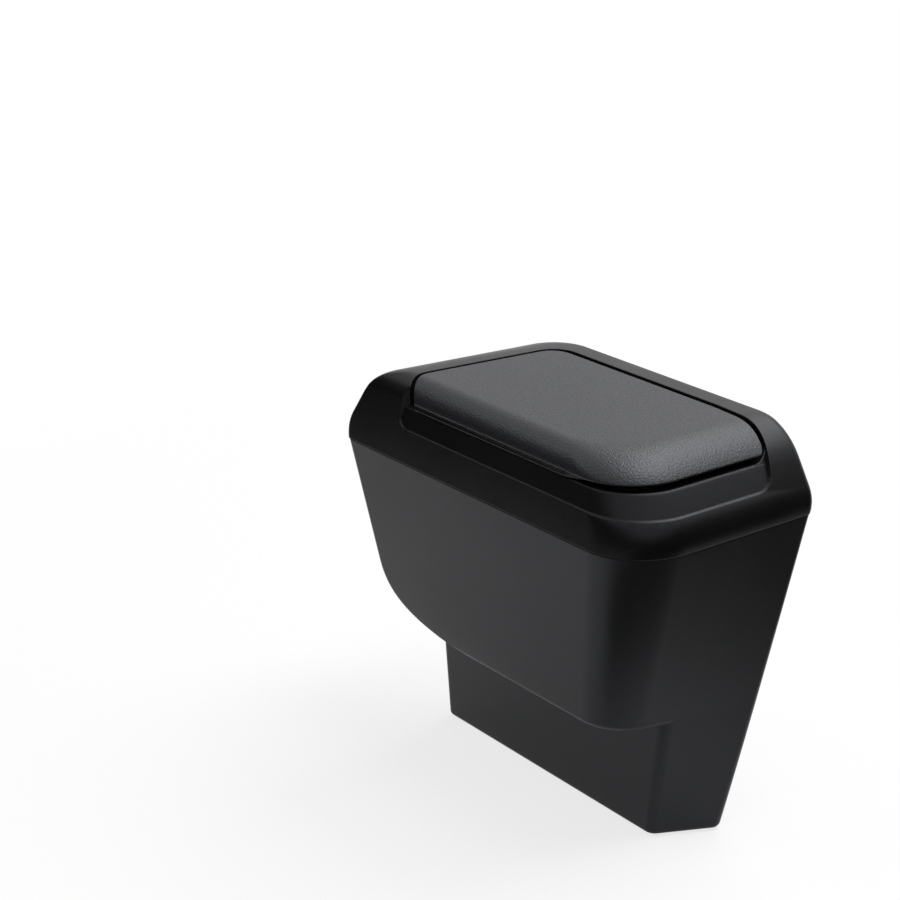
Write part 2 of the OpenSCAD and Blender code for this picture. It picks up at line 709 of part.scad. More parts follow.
// A wall inside the cover closes its hollow behind the fingers
finger_wall = 1.6;
module lid_cover() {
    color([0.17, 0.17, 0.18])
        difference() {
            union() {
                at_parting() difference() {
                    cover_form();
                    difference() {
                        lid_form(cover_wall, cover_edge_z - 1, rim_h - cover_wall);
                        difference() {
                            liner_prism(0);
                            liner_prism(-finger_wall);
                        }
                    }
                }
                at_lid_screws() translate([0, 0, liner_t])
                    cylinder(d = screw_d + 2 * boss_wall, h = rim_h - cover_wall / 2 - liner_z - liner_t);
            }
            at_parting() hidden_corner(cover_corner_r, 0, cover_edge_z);
            at_hinge() {
                tail_cut();
                hinge_pocket(9);
                ear_pockets();
            }
            at_lid_screws() cylinder(r = screw_d / 2 + screw_fit, h = screw_l + 0.5);
        }
}

// Smooth liner: a tray with the lid's knuckles, its near end set back for the fingers
liner_end_x = end_x(cover_edge_z, 0) - finger_d;
module liner_prism(e) {
    translate([0, 0, liner_z - 1]) linear_extrude(rim_h - liner_z + 2) polygon(outline([
        far_point(lid_far_x - e, -lid_y0 - 2),
        [liner_end_x + e, -side_y(liner_z, -e, side_edge_r, side_lean)],
        [liner_end_x + e, lid_y1 + 2],
        far_point(lid_far_x - e, lid_y1 + 2)],
        [1, liner_corner_r + e, 12, 1]));
}
module liner_form(w, z0) {
    intersection() {
        lid_form(w, z0, cover_edge_z);
        liner_prism(-w);
    }
}
knuckle_y = hinge_span / 2 - ear_t - seat_gap - knuckle_l / 2;
module knuckles() {
    plate_top = liner_z + liner_t - hinge_z;
    plate_low = liner_z - hinge_z;
    for (s = [-1, 1])
        translate([0, s * knuckle_y + knuckle_l / 2, 0]) rotate([90, 0, 0]) linear_extrude(knuckle_l)
            union() {
                circle(knuckle_r);
                polygon([[-1, -knuckle_r + 0.1], [3, plate_low], [14, plate_low], [14, plate_top], [knuckle_r, 0]]);
            }
}
module lid_liner() {
    color([0.12, 0.12, 0.125])
        difference() {
            union() {
                difference() {
                    at_parting() liner_form(seat_gap, liner_z);
                    at_parting() liner_form(seat_gap + 2, liner_z + liner_t);
                    at_hinge() {
                        tail_cut();
                        hinge_pocket(6);
                    }
                }
                at_hinge() knuckles();
            }
            at_hinge() {
                ear_pockets();
                y_cylinder(pin_d / 2 + pin_fit, hinge_span + 2);
            }
            at_lid_screws() translate([0, 0, -1]) cylinder(r = screw_d / 2 + screw_fit, h = screw_l);
        }
}
module lid_screws() {
    color([0.55, 0.55, 0.57]) at_lid_screws() mirror([0, 0, 1]) screw();
}
module lid_bumpers() {
    color([0.05, 0.05, 0.05]) at_bumpers() union() {
        translate([0, 0, -rim_wall - 0.5]) cylinder(d = stem_d, h = rim_wall + 1);
        cylinder(d = bumper_d, h = lid_lift);
    }
}

body_shell();
rim_cover();
bag_ring();
foot_pad();
hinge_bracket();
bracket_screws();
hinge_pin();
pin_clips();
lid_cover();
lid_liner();
lid_screws();
lid_bumpers();
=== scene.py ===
import math

import bmesh
import bpy
from mathutils import Matrix, Vector


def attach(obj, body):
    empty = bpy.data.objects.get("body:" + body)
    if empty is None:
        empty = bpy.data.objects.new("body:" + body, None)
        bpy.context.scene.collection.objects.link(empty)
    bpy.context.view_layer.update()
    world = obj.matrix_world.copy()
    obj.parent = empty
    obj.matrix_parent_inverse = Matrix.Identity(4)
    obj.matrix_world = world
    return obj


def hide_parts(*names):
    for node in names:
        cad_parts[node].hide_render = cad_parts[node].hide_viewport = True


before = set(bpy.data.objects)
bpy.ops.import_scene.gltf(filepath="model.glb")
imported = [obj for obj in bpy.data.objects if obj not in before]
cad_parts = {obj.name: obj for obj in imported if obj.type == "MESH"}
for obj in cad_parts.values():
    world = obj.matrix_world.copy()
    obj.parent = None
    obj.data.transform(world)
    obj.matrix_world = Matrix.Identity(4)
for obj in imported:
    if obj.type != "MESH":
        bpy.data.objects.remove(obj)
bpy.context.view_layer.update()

# The shells are drawn in millimetres, with z = 0 at the parting line between rim and body
mm = 0.001
parting = 173.0   # height of that line above the floor
arcSteps = 18     # steps on each rounded corner


def tan(degrees):
    return math.tan(math.radians(degrees))


def sin(degrees):
    return math.sin(math.radians(degrees))


def cos(degrees):
    return math.cos(math.radians(degrees))


def mix(a, b, t):
    return a + (b - a) * t


# Outlines

def corner(a, b, c, r, steps):
    # the arc of radius r that rounds the corner b between a and c
    a, b, c = Vector(a), Vector(b), Vector(c)
    u, v = (a - b).normalized(), (c - b).normalized()
    half = math.acos(max(-1.0, min(1.0, u.dot(v)))) / 2
    middle = b + (u + v).normalized() * r / math.sin(half)
    start = b + u * r / math.tan(half) - middle
    first = math.atan2(start.y, start.x)
    turn = math.pi - 2 * half
    angles = [first + turn * i / steps for i in range(steps + 1)]
    return [(middle.x + r * math.cos(angle), middle.y + r * math.sin(angle)) for angle in angles]


def outline(corners, radii, steps=arcSteps):
    count = len(corners)
    points = []
    for q in range(count):
        points += corner(corners[q - 1], corners[q], corners[(q + 1) % count], radii[q], steps)
    return points


def at(points, z):
    return [(x, y, z) for x, y in points]


# Meshes

def meshFrom(name, points, faces):
    data = bpy.data.meshes.new(name)
    data.from_pydata([(p[0] * mm, p[1] * mm, (p[2] + parting) * mm) for p in points], [], faces)
    made = bpy.data.objects.new(name, data)
    bpy.context.scene.collection.objects.link(made)
    return made


def loft(name, rings):
    # rings of equal count, joined from the lowest to the highest and closed at both ends
    count = len(rings[0])
    faces = []
    for i in range(len(rings) - 1):
        for j in range(count):
            k = (j + 1) % count
            faces.append((i * count + j, i * count + k, (i + 1) * count + k, (i + 1) * count + j))
    faces.append(tuple(range(count - 1, -1, -1)))
    faces.append(tuple((len(rings) - 1) * count + j for j in range(count)))
    return meshFrom(name, [p for ring in rings for p in ring], faces)


def prism(name, plan, z0, z1):
    return loft(name, [at(plan, z0), at(plan, z1)])


def barFaces(count):
    # the sides and the two ends of a bar with count points round each end
    faces = [(j, (j + 1) % count, count + (j + 1) % count, count + j) for j in range(count)]
    return faces + [tuple(range(count - 1, -1, -1)), tuple(count + j for j in range(count))]


def facedOut(made):
    edit = bmesh.new()
    edit.from_mesh(made.data)
    bmesh.ops.recalc_face_normals(edit, faces=edit.faces)
    edit.to_mesh(made.data)
    edit.free()
    return made


def combine(target, tool, operation):
    # the tool is used up
    modifier = target.modifiers.new("join", "BOOLEAN")
    modifier.operation = operation
    modifier.solver = "EXACT"
    modifier.object = tool
    graph = bpy.context.evaluated_depsgraph_get()
    data = bpy.data.meshes.new_from_object(target.evaluated_get(graph))
    target.modifiers.clear()
    target.data = data
    bpy.data.objects.remove(tool)
    return target


def cut(target, tool):
    return combine(target, tool, "DIFFERENCE")


def add(target, tool):
    return combine(target, tool, "UNION")


def keep(target, tool):
    return combine(target, tool, "INTERSECT")


def smooth(target, degrees=24):
    target.data.shade_smooth()
    target.data.set_sharp_from_angle(angle=math.radians(degrees))
    return target


# The form that rim and lid share: a loaf with rounded shoulders and a slanted far end

rimValues = {
    "length": 246.1,
    "width": 126.5,
    "height": 46.5,          # above the parting line
    "flatLength": 163.3,     # of the top, between its shoulders
    "shoulderRadius": 36.0,
    "shoulderTurn": 60.0,    # degrees that a shoulder turns before it runs on straight
    "flankRadius": 18.0,     # rounds the ends below the shoulders
    "sideEdge": 14.0,        # radius of the top's edge on the open side
    "sideLean": 8.0,         # degrees
    "backEdge": 3.0,         # the same two on the hidden side
    "backLean": 2.0,
    "slant": 5.7,            # degrees that the far end turns in plan
    "nearCorner": 35.0,      # radii of the four corners in plan
    "backCorner": 4.8,
    "farBackCorner": 20.0,
    "farCorner": 5.0,
    "cornerShrink": 4.0,     # most that the two small corners shrink inside the wall
    "wall": 2.5,
}

halfWidth = rimValues["width"] / 2
shoulderX = rimValues["flatLength"] / 2
shoulderZ = rimValues["height"] - rimValues["shoulderRadius"]
flankX = rimValues["length"] / 2 - rimValues["flankRadius"]
turnZ = shoulderZ + rimValues["shoulderRadius"] * cos(rimValues["shoulderTurn"])
turnX = shoulderX + rimValues["shoulderRadius"] * sin(rimValues["shoulderTurn"])
flankTopX = flankX + rimValues["flankRadius"] * sin(rimValues["shoulderTurn"])
flankTopZ = turnZ - (flankTopX - turnX) * tan(rimValues["shoulderTurn"])
flankZ = flankTopZ - rimValues["flankRadius"] * cos(rimValues["shoulderTurn"])
farSlope = tan(rimValues["slant"])
farTurn = rimValues["farCorner"] * ((1 + sin(rimValues["slant"])) / cos(rimValues["slant"]) - 1)
overTop = rimValues["height"] + 1  # where cuts through the top end


def endX(z, w):
    # half length at height z, w inside the surface
    turn = rimValues["shoulderTurn"]
    if z > turnZ - w * cos(turn):
        return shoulderX + math.sqrt(max(0.0, (rimValues["shoulderRadius"] - w) ** 2 - (z - shoulderZ) ** 2))
    if z > flankTopZ - w * cos(turn):
        return flankTopX - w / sin(turn) - (z - flankTopZ) / tan(turn)
    r = rimValues["flankRadius"] - w
    return flankX + math.sqrt(r ** 2 - min(abs(z - flankZ), r - 1) ** 2)


def sideY(z, w, r, lean):
    # half width at height z, w inside a side with this edge radius and lean
    centreZ = rimValues["height"] - r
    centreY = halfWidth - centreZ * tan(lean) - r / cos(lean)
    if z > centreZ + (r - w) * sin(lean):
        return centreY + math.sqrt(max(0.0, (r - w) ** 2 - (z - centreZ) ** 2))
    return halfWidth - z * tan(lean) - w / cos(lean)


def farPoint(x, y):
    # a point at the far end, moved by the end's slant
    return (x - farTurn + farSlope * (y + halfWidth), y)


def loafRing(z, w):
    x = endX(z, w)
    y0 = -sideY(z, w, rimValues["sideEdge"], rimValues["sideLean"])
    y1 = sideY(z, w, rimValues["backEdge"], rimValues["backLean"])
    shrink = min(w, rimValues["cornerShrink"])
    return at(outline(
        [farPoint(-x, y0), (x, y0), (x, y1), farPoint(-x, y1)],
        [rimValues["farCorner"] - shrink, rimValues["nearCorner"] - w,
         rimValues["backCorner"] - shrink, rimValues["farBackCorner"] - w]), z)


def loafLevels(w, z0, z1):
    # heights from z0 to z1, close together where the form turns
    levels = [3 * i for i in range(5)] + [flankZ + 1.5 * i for i in range(6)] + [flankTopZ]
    turn = rimValues["shoulderTurn"]
    levels += [shoulderZ + (rimValues["shoulderRadius"] - w) * cos(turn * i / 24) for i in range(25)]
    for r in (rimValues["sideEdge"], rimValues["backEdge"]):
        centre = rimValues["height"] - r
        levels += [centre + max(r - w, 0.1) * sin(90 * i / 12) for i in range(13)]
    kept = [z0]
    for z in sorted(levels):
        if z > kept[-1] + 0.12 and z < z1 - 0.06:
            kept.append(z)
    return kept + [z1]


def loaf(name, w, z0, z1):
    top = min(z1, rimValues["height"] - w)
    return loft(name, [loafRing(z, w) for z in loafLevels(w, z0, top)])


# The lid's outline, which the recess of the rim follows

recessValues = {
    "gap": 2.8,              # round the lid
    "backGap": 3.9,          # the same on the hidden side
    "backSlope": 0.55,       # of the hidden wall past the bend
    "ledge": 18.8,           # height of the ledge round the plateau
    "ledgeEdge": 0.7,        # radius of its outer edge
    "notch": 7.0,            # radius of its corner at the hidden wall
    "step": 1.6,             # how far the plateau stands back from the rim's face
    "stepLean": 0.6,         # how much more it leans back, each way from that
    "plateau": 30.2,         # height of the plateau below the lid
    "plateauEdge": 0.6,
    "plateauCorner": 8.0,    # radius of its corner at the hidden wall
    "flareX": 5.2,           # place, turn and corner of the wall that opens at the far end of the ledge
    "flareY": 8.0,
    "flareTurn": 39.0,
    "flareCorner": 6.5,
    "flareInside": 19.0,     # how far that wall's cut reaches into the recess
}

lidValues = {
    "fromSide": 2.8,         # distances of the lid's edges from the edges of the rim
    "backBand": 19.2,
    "fromFar": 49.1,
    "farCorner": 19.0,       # radii of its far corners
    "backCorner": 13.0,
    "bendX": 17.5,           # place and radius of the bend in its hidden edge
    "bendIn": 2.4,
    "bendRadius": 50.0,
    "backSlope": 0.42,       # of that edge past the bend
    "pastEnd": 20.3,         # how far the outline runs on past the near end, where the loaf trims it
    "fingerGap": 3.2,        # height of the cover's lower edge above the plateau
    "edge": 1.5,             # radius of that edge
    "coverCorner": 4.5,
    "coverWall": 2.5,
    "lift": 1.2,             # height of the liner above the plateau
    "linerThickness": 1.6,
    "linerCorner": 42.0,
    "linerBackCorner": 12.0,
    "linerCut": 19.0,        # height of the cuts on the liner's outline
    "linerIn": 0.3,          # how far the liner stands inside the cover's form
    "trayWall": 2.0,         # of the liner's edge
    "fingerDepth": 13.0,     # how far the liner stops short of the near end
    "fingerWall": 1.6,       # wall inside the cover, behind the fingers
}

lidY0 = halfWidth - lidValues["fromSide"]
lidY1 = halfWidth - lidValues["backBand"]
lidFarX = lidValues["fromFar"] - rimValues["length"] / 2
pastEnd = rimValues["length"] / 2 + lidValues["pastEnd"]
plateauZ = recessValues["plateau"]
ledgeZ = recessValues["ledge"]
coverEdge = plateauZ + lidValues["fingerGap"]
linerZ = plateauZ + lidValues["lift"]
linerEndX = endX(coverEdge, 0) - lidValues["fingerDepth"]


def lidPlan(e, back=None):
    # grown by e; the recess, which gives its own growth on the hidden side, narrows faster there
    slope = lidValues["backSlope"] if back is None else recessValues["backSlope"]
    back = e if back is None else back
    bend = lidValues["bendX"]
    bendY = lidY1 - lidValues["bendIn"]
    return outline(
        [farPoint(lidFarX - e, -lidY0 - e), (pastEnd, -lidY0 - e),
         (pastEnd, bendY - slope * (pastEnd - shoulderX - bend) + back), (shoulderX + bend, bendY + back),
         (shoulderX - bend, lidY1 + back), farPoint(lidFarX - e, lidY1 + back)],
        [lidValues["farCorner"] + e, 1, 1, lidValues["bendRadius"] + e, 2 * lidValues["bendRadius"] + e,
         lidValues["backCorner"] + e])


# The hinge, drawn round its own axis, which is slanted as the far end is

hingeValues = {
    "fromEdge": 14.0,        # distance of the axis from the lid's far edge
    "drop": 5.5,             # depth of the axis below the top
    "halfSpan": 36.0,        # from the middle to the outer face of a bracket ear
    "ear": 6.0,              # thickness of an ear
    "earRoom": 0.4,          # between an ear and the lid
    "earFront": 9.1,         # reach of an ear in front of the axis
    "pocketEnd": 39.4,       # ends of the pockets that clear pin and ears
    "earPocketEnd": 39.8,
    "pocketDrop": 20.0,
    "coverPocket": 9.0,      # reach of the pocket in front of the axis, in the cover and in the liner
    "linerPocket": 6.0,
    "knuckleRadius": 3.5,
    "knuckleLength": 8.0,
    "knuckleRoom": 0.3,      # between a knuckle and its ear
    "neckReach": 14.0,       # from the axis to where a knuckle's neck meets the liner
    "neckDrop": 0.1,         # how far its foot stays inside the knuckle's round
    "bore": 1.55,            # radius of the pin's bore
    "boreEnd": 37.0,
    "troughOpen": 17.25,     # room in the trough past the ears, on the open and the hidden side
    "troughHidden": 7.25,
    "troughOut": 16.0,       # reach of the trough in front of the axis
    "troughOver": 0.3,       # how far its cut rises over the plateau
    "bracketThickness": 2.0,
    "clearance": 0.3,        # of the lid's tail over the plateau
    "footRise": 0.1,         # of the bracket's foot into the full circle of the tail's upper edge
}

hingeZ = rimValues["height"] - hingeValues["drop"]
hingeX = farPoint(lidFarX, 0)[0] + hingeValues["fromEdge"] / cos(rimValues["slant"])
tailRadius = math.hypot(hingeValues["fromEdge"], hingeValues["drop"])
footTop = hingeValues["footRise"] - tailRadius
troughFloor = footTop - hingeValues["bracketThickness"]


def atHinge(points):
    turn = -math.radians(rimValues["slant"])
    return [(hingeX + p[0] * math.cos(turn) - p[1] * math.sin(turn),
             p[0] * math.sin(turn) + p[1] * math.cos(turn), p[2] + hingeZ) for p in points]


def hingeBox(name, low, high):
    points = [(x, y, z) for z in (low[2], high[2]) for x, y in
              ((low[0], low[1]), (high[0], low[1]), (high[0], high[1]), (low[0], high[1]))]
    faces = [(0, 3, 2, 1), (4, 5, 6, 7), (0, 1, 5, 4), (1, 2, 6, 5), (2, 3, 7, 6), (3, 0, 4, 7)]
    return meshFrom(name, atHinge(points), faces)


def hingeProfile(name, profile, y0, y1):
    # a profile in x and z, drawn out along the axis
    points = [(p[0], y0, p[1]) for p in profile] + [(p[0], y1, p[1]) for p in profile]
    return facedOut(meshFrom(name, atHinge(points), barFaces(len(profile))))


def hingeRod(name, r, y0, y1, steps):
    profile = [(r * cos(360 * i / steps), r * sin(360 * i / steps)) for i in range(steps)]
    return hingeProfile(name, profile, y0, y1)


def trough(name, g):
    # the hollow of the rim that the bracket lies in, grown by g
    inside = hingeValues["fromEdge"] + recessValues["gap"]
    y0 = -hingeValues["halfSpan"] - hingeValues["troughOpen"]
    y1 = hingeValues["halfSpan"] + hingeValues["troughHidden"]
    top = plateauZ + hingeValues["troughOver"] - hingeZ
    return hingeBox(name, (-inside - g, y0 - g, troughFloor - g),
                    (hingeValues["troughOut"] + g, y1 + g, top + g))


def tailCut():
    # what the tail of the lid leaves free, outside a cylinder round the axis, below and behind it
    deep, wide = 2 * hingeValues["fromEdge"], rimValues["width"]
    made = hingeBox("tail", (-deep, -wide, -deep), (0, wide, 0))
    keepRadius = hingeZ - plateauZ - hingeValues["clearance"]
    return cut(made, hingeRod("tailRod", keepRadius, -1.5 * wide, 1.5 * wide, 64))


def hingePocket(reach):
    back = lidValues["coverWall"] - hingeValues["fromEdge"]
    end, top = hingeValues["pocketEnd"], hingeValues["knuckleRadius"] + hingeValues["earRoom"]
    return hingeBox("hingePocket", (back, -end, -hingeValues["pocketDrop"]), (reach, end, top))


def earPockets(target):
    inside = hingeValues["halfSpan"] - hingeValues["ear"] - hingeValues["earRoom"]
    outside, drop = hingeValues["earPocketEnd"], hingeValues["pocketDrop"]
    front = hingeValues["earFront"] + hingeValues["earRoom"]
    top = hingeValues["knuckleRadius"] + hingeValues["earRoom"]
    for y0, y1 in ((-outside, -inside), (inside, outside)):
        cut(target, hingeBox("earPocket", (-drop, y0, -drop), (front, y1, top)))


# The body: a tub whose leans and corners change with depth, and a hollow leg below it

bodyValues = {
    "wall": 2.5,
    "reveal": 0.3,           # how far the body stands back from the rim
    "bellyDepth": 103.3,     # all depths are below the parting line
    "bellyEdge": 3.2,        # radius of the belly's lower edge
    "sideDraft": 4.6,        # leans in degrees: open side, hidden side, far end
    "backDraft": 15.4,
    "farDraft": 15.9,
    "endDraft": 11.9,        # lean of the near end at the open side and at the hidden side
    "endBackDraft": 1.5,
    "nearTaper": 0.06,       # how fast the near corner's radius shrinks with depth
    "cornerShrink": 3.0,     # most that the small corners shrink inside the wall
    "heelHeight": 33.3,      # rounding of the far lower corner, and how far its handles pull
    "heelLength": 120.0,
    "heelPullDown": 0.66,
    "heelPullAlong": 0.25,
    "heelPullBack": 0.7,     # how much less the inner side of the wall is pulled down
    "legDepth": 172.0,
    "legY": 22.8,            # its open side, from the middle
    "legLength": 79.5,       # from the middle to its far end at the foot
    "legDraft": 6.5,
    "legCorner": 5.0,
    "legNearCorner": 7.0,
    "legBackCorner": 18.0,
    "legInside": 22.0,       # how far the leg reaches up into the belly
    "footRadius": 2.8,
    "groove": 0.5,           # height and depth of the groove at the parting line
    "grooveDepth": 1.2,
}

bodyX = endX(0, 0) - bodyValues["reveal"]
bodyY = halfWidth - bodyValues["reveal"]
heelDepth = bodyValues["bellyDepth"] - bodyValues["heelHeight"]
heelPull = bodyValues["heelHeight"] * bodyValues["heelPullDown"]


def backY(d):
    return bodyY - d * tan(bodyValues["backDraft"])


def frontY(d):
    return d * tan(bodyValues["sideDraft"]) - bodyY


def tubX(d):
    return d * tan(bodyValues["farDraft"]) - bodyX


def nearEndX(d, y):
    # the near end is twisted, since it leans more at the open side
    return mix(bodyX - d * tan(bodyValues["endDraft"]), bodyX - d * tan(bodyValues["endBackDraft"]),
               (y - frontY(d)) / (backY(d) - frontY(d)))


def tubRing(x0, d, w):
    y0, y1 = frontY(d) + w, backY(d) - w
    shrink = min(w, bodyValues["cornerShrink"])
    return at(outline(
        [farPoint(x0 + w, y0), (nearEndX(d, y0) - w, y0), (nearEndX(d, y1) - w, y1), farPoint(x0 + w, y1)],
        [rimValues["farCorner"] - shrink, rimValues["nearCorner"] - bodyValues["nearTaper"] * d - w,
         rimValues["backCorner"] - shrink, rimValues["farBackCorner"] - w]), -d)


def wallRing(d, w):
    return tubRing(tubX(d), d, w)


def heel(w, t):
    # far end and depth of the ring at t on the heel's curve, from its top to the belly's floor
    belly = bodyValues["bellyDepth"]
    start, long = tubX(heelDepth), bodyValues["heelLength"]
    pulls = [(start, heelDepth),
             (tubX(heelDepth + heelPull), heelDepth + heelPull - w * bodyValues["heelPullBack"]),
             (start + long * bodyValues["heelPullAlong"], belly - w),
             (start + long, belly - w)]
    shares = [(1 - t) ** 3, 3 * (1 - t) ** 2 * t, 3 * (1 - t) * t * t, t ** 3]
    return [sum(s * p[i] for s, p in zip(shares, pulls)) for i in (0, 1)]


def edgeInset(h, r):
    # how far an edge of radius r is drawn in at height h
    return r - math.sqrt(r * r - (r - h) ** 2) if h < r else 0.0


def tub(name, w, top):
    edge = 0.0 if w > 0 else bodyValues["bellyEdge"]
    base = bodyValues["bellyDepth"] - w
    levels = []
    for i in range(33):
        x, d = heel(w, 1 - i / 32)
        if not levels or levels[-1][1] - d >= 0.004:
            levels.append((x, d))
    if w == 0:
        for d in (base - edge, base - edge - 0.4):  # a short band here keeps the flat wall's shading flat
            i = next(i for i, level in enumerate(levels) if level[1] < d)
            t = (levels[i - 1][1] - d) / (levels[i - 1][1] - levels[i][1])
            levels.insert(i, (mix(levels[i - 1][0], levels[i][0], t), d))
    rings = [tubRing(x, d, w + edgeInset(max(base - d, 0), edge)) for x, d in levels]
    rings += [wallRing(heelDepth * share, w) for share in (0.8, 0.6, 0.4, 0.2)]
    return loft(name, rings + [wallRing(top, w)])


def legRing(d, w):
    y0, y1 = w - bodyValues["legY"], backY(d) - w
    x0 = -bodyValues["legLength"] - (bodyValues["legDepth"] - d) * tan(bodyValues["legDraft"]) + w
    shrink = min(w, bodyValues["cornerShrink"])
    return at(outline(
        [(x0, y0), (nearEndX(d, y0) - w, y0), (nearEndX(d, y1) - w, y1), (x0 + farSlope * (y1 - y0), y1)],
        [bodyValues["legCorner"] - shrink, bodyValues["legNearCorner"] - shrink,
         rimValues["backCorner"] - shrink, bodyValues["legBackCorner"] - w]), -d)


def leg(name, w):
    # close rings follow the twisted near end, and the last ones dive under the tub's face
    r = max(bodyValues["footRadius"] - w, 0.3)
    foot = bodyValues["legDepth"]
    top = bodyValues["bellyDepth"] - bodyValues["bellyEdge"]
    rings = [legRing(foot - w - r + r * cos(a), w + r - r * sin(a)) for a in range(0, 91, 10)]
    rings += [legRing(mix(foot - 10, top + 3, i / 11), w) for i in range(12)]
    rings += [legRing(top + d, w) for d in (2, 1, 0.5, 0)] + [legRing(top - 0.8, w + 0.25)]
    return loft(name, rings + [legRing(bodyValues["bellyDepth"] - bodyValues["legInside"] + w, w + 1)])


def makeBody():
    wall = bodyValues["wall"]
    body = tub("body", 0, bodyValues["groove"])
    add(body, leg("legForm", 0))
    hollow = tub("hollow", wall, -1)
    add(hollow, leg("legHollow", wall))
    cut(body, hollow)
    return smooth(body)


# The rim, with the lid's recess, the mouth, the trough and the rib that sits in the body

flareAt = farPoint(lidFarX - recessValues["gap"] + recessValues["flareX"], recessValues["flareY"] - halfWidth)


def flare(name, e, z0):
    # where the far wall of the recess turns outwards, grown by e
    turn, long = recessValues["flareTurn"], 2 * recessValues["flareY"]
    far, inside = -e / cos(turn), recessValues["flareInside"]
    plan = [(far, e), (far - long * tan(turn) - e * tan(turn), -long), (inside, -long), (inside, e)]
    return prism(name, [(flareAt[0] + x, flareAt[1] + y) for x, y in plan], z0, overTop)


def cornerBar(name, r, start, degrees, long, hand, z):
    # what stays in a lower corner of the notch, run along a wall that turns by so many degrees
    profile = [(1, -1), (1, r)]
    profile += [(-r + r * cos(a), r + r * sin(a)) for a in range(0, -91, -6)] + [(-r, -1)]
    points = []
    for along in (0, long):
        for across, height in profile:
            across = across * hand
            points.append((start[0] + along * cos(degrees) - across * sin(degrees),
                           start[1] + along * sin(degrees) + across * cos(degrees),
                           z + height))
    return facedOut(meshFrom(name, points, barFaces(len(profile))))


def hiddenCorner(name, r, back, slope, z):
    start = (shoulderX + lidValues["bendX"], lidY1 - lidValues["bendIn"] + back)
    return cornerBar(name, r, start, -math.degrees(math.atan(slope)), rimValues["length"] / 2, 1, z)


def edgeRings(z, w, r):
    # rings that round a top edge at height z
    return [loafRing(z - r * (1 - sin(a)), w + r * (1 - cos(a))) for a in range(10, 91, 10)]


def ledge():
    # below its rounded edge it stands just outside the rim, so that no faces coincide
    r, outside = recessValues["ledgeEdge"], -0.05
    below = [loafRing(z, outside) for z in (ledgeZ - 3, ledgeZ - r)]
    return loft("ledge", below + edgeRings(ledgeZ, 0, r))


def pedestal():
    # the plateau with its side, which leans back a little more than the rim
    w, r, lean = recessValues["step"], recessValues["plateauEdge"], recessValues["stepLean"]
    rings = [loafRing(z, w + lean * mix(-1, 1, (z - ledgeZ) / (plateauZ - ledgeZ)))
             for z in loafLevels(w, ledgeZ - 1, plateauZ - r)]
    return loft("pedestal", rings + edgeRings(plateauZ, w + lean, r))


def plateauCorner():
    made = hiddenCorner("plateauCorner", recessValues["plateauCorner"], recessValues["backGap"],
                        recessValues["backSlope"], plateauZ)
    inset = recessValues["step"] + recessValues["stepLean"]
    return keep(made, loaf("pedestalFull", inset, plateauZ - 2, rimValues["height"]))


def recess():
    low = ledgeZ - recessValues["ledgeEdge"]
    made = prism("recess", lidPlan(recessValues["gap"], recessValues["backGap"]), low, overTop)
    add(made, flare("flare", 0, low))
    cut(made, ledge())
    cut(made, pedestal())
    cut(made, hiddenCorner("notchCorner", recessValues["notch"], recessValues["backGap"],
                           recessValues["backSlope"], ledgeZ))
    cut(made, plateauCorner())
    cut(made, cornerBar("flareCorner", recessValues["flareCorner"], flareAt, -90 - recessValues["flareTurn"],
                        4 * recessValues["flareY"], -1, ledgeZ))
    return made


def rimHollow():
    wall = rimValues["wall"]
    made = loaf("hollow", wall + recessValues["step"], -1, rimValues["height"] - wall)
    cut(made, prism("keepRecess", lidPlan(recessValues["gap"] + wall, recessValues["backGap"] + wall),
                    plateauZ - wall, overTop))
    cut(made, flare("keepFlare", wall, ledgeZ - wall))
    cut(made, trough("keepTrough", wall))
    return made


mouthValues = {
    "fromHinge": 25.0,
    "length": 126.0,
    "width": 80.0,
    "corner": 18.0,
    "middle": -6.25,
    "collarDepth": 13.0,     # from the plateau to the collar's lower end
    "collarWall": 2.0,
    "collarDrop": 0.5,       # of the collar's upper end below the ring's seat
    "flange": 4.0,           # width of the bag ring's flange
    "ringThickness": 1.6,
    "ringFit": 0.4,
}


def mouth(name, e, z0, z1):
    # a prism on the mouth's outline, grown by e
    x0 = hingeX + mouthValues["fromHinge"] - e
    x1 = hingeX + mouthValues["fromHinge"] + mouthValues["length"] + e
    y0 = mouthValues["middle"] - mouthValues["width"] / 2 - e
    y1 = mouthValues["middle"] + mouthValues["width"] / 2 + e
    r = mouthValues["corner"] + e
    return prism(name, outline([(x0, y0), (x1, y0), (x1, y1), (x0, y1)], [r, r, r, r]), z0, z1)


ribValues = {
    "depth": 8.0,            # below the parting line
    "wall": 1.6,
    "fit": 0.3,              # between rib and body
    "rise": 3.0,             # how far it reaches up into the rim
}


def rib():
    # stands inside the body's wall and closes the groove at the parting line
    depth, rise = ribValues["depth"], ribValues["rise"]
    outside = bodyValues["wall"] + ribValues["fit"]
    inside = outside + ribValues["wall"]
    groove, grooveDepth = bodyValues["groove"], bodyValues["grooveDepth"]
    made = loft("rib", [wallRing(depth, outside), tubRing(tubX(groove), groove + 0.01, outside),
                        wallRing(groove, grooveDepth), loafRing(rise, grooveDepth)])
    return cut(made, loft("ribHollow", [tubRing(tubX(depth), depth + 1, inside), wallRing(groove, inside),
                                        loafRing(rise + 1, inside)]))


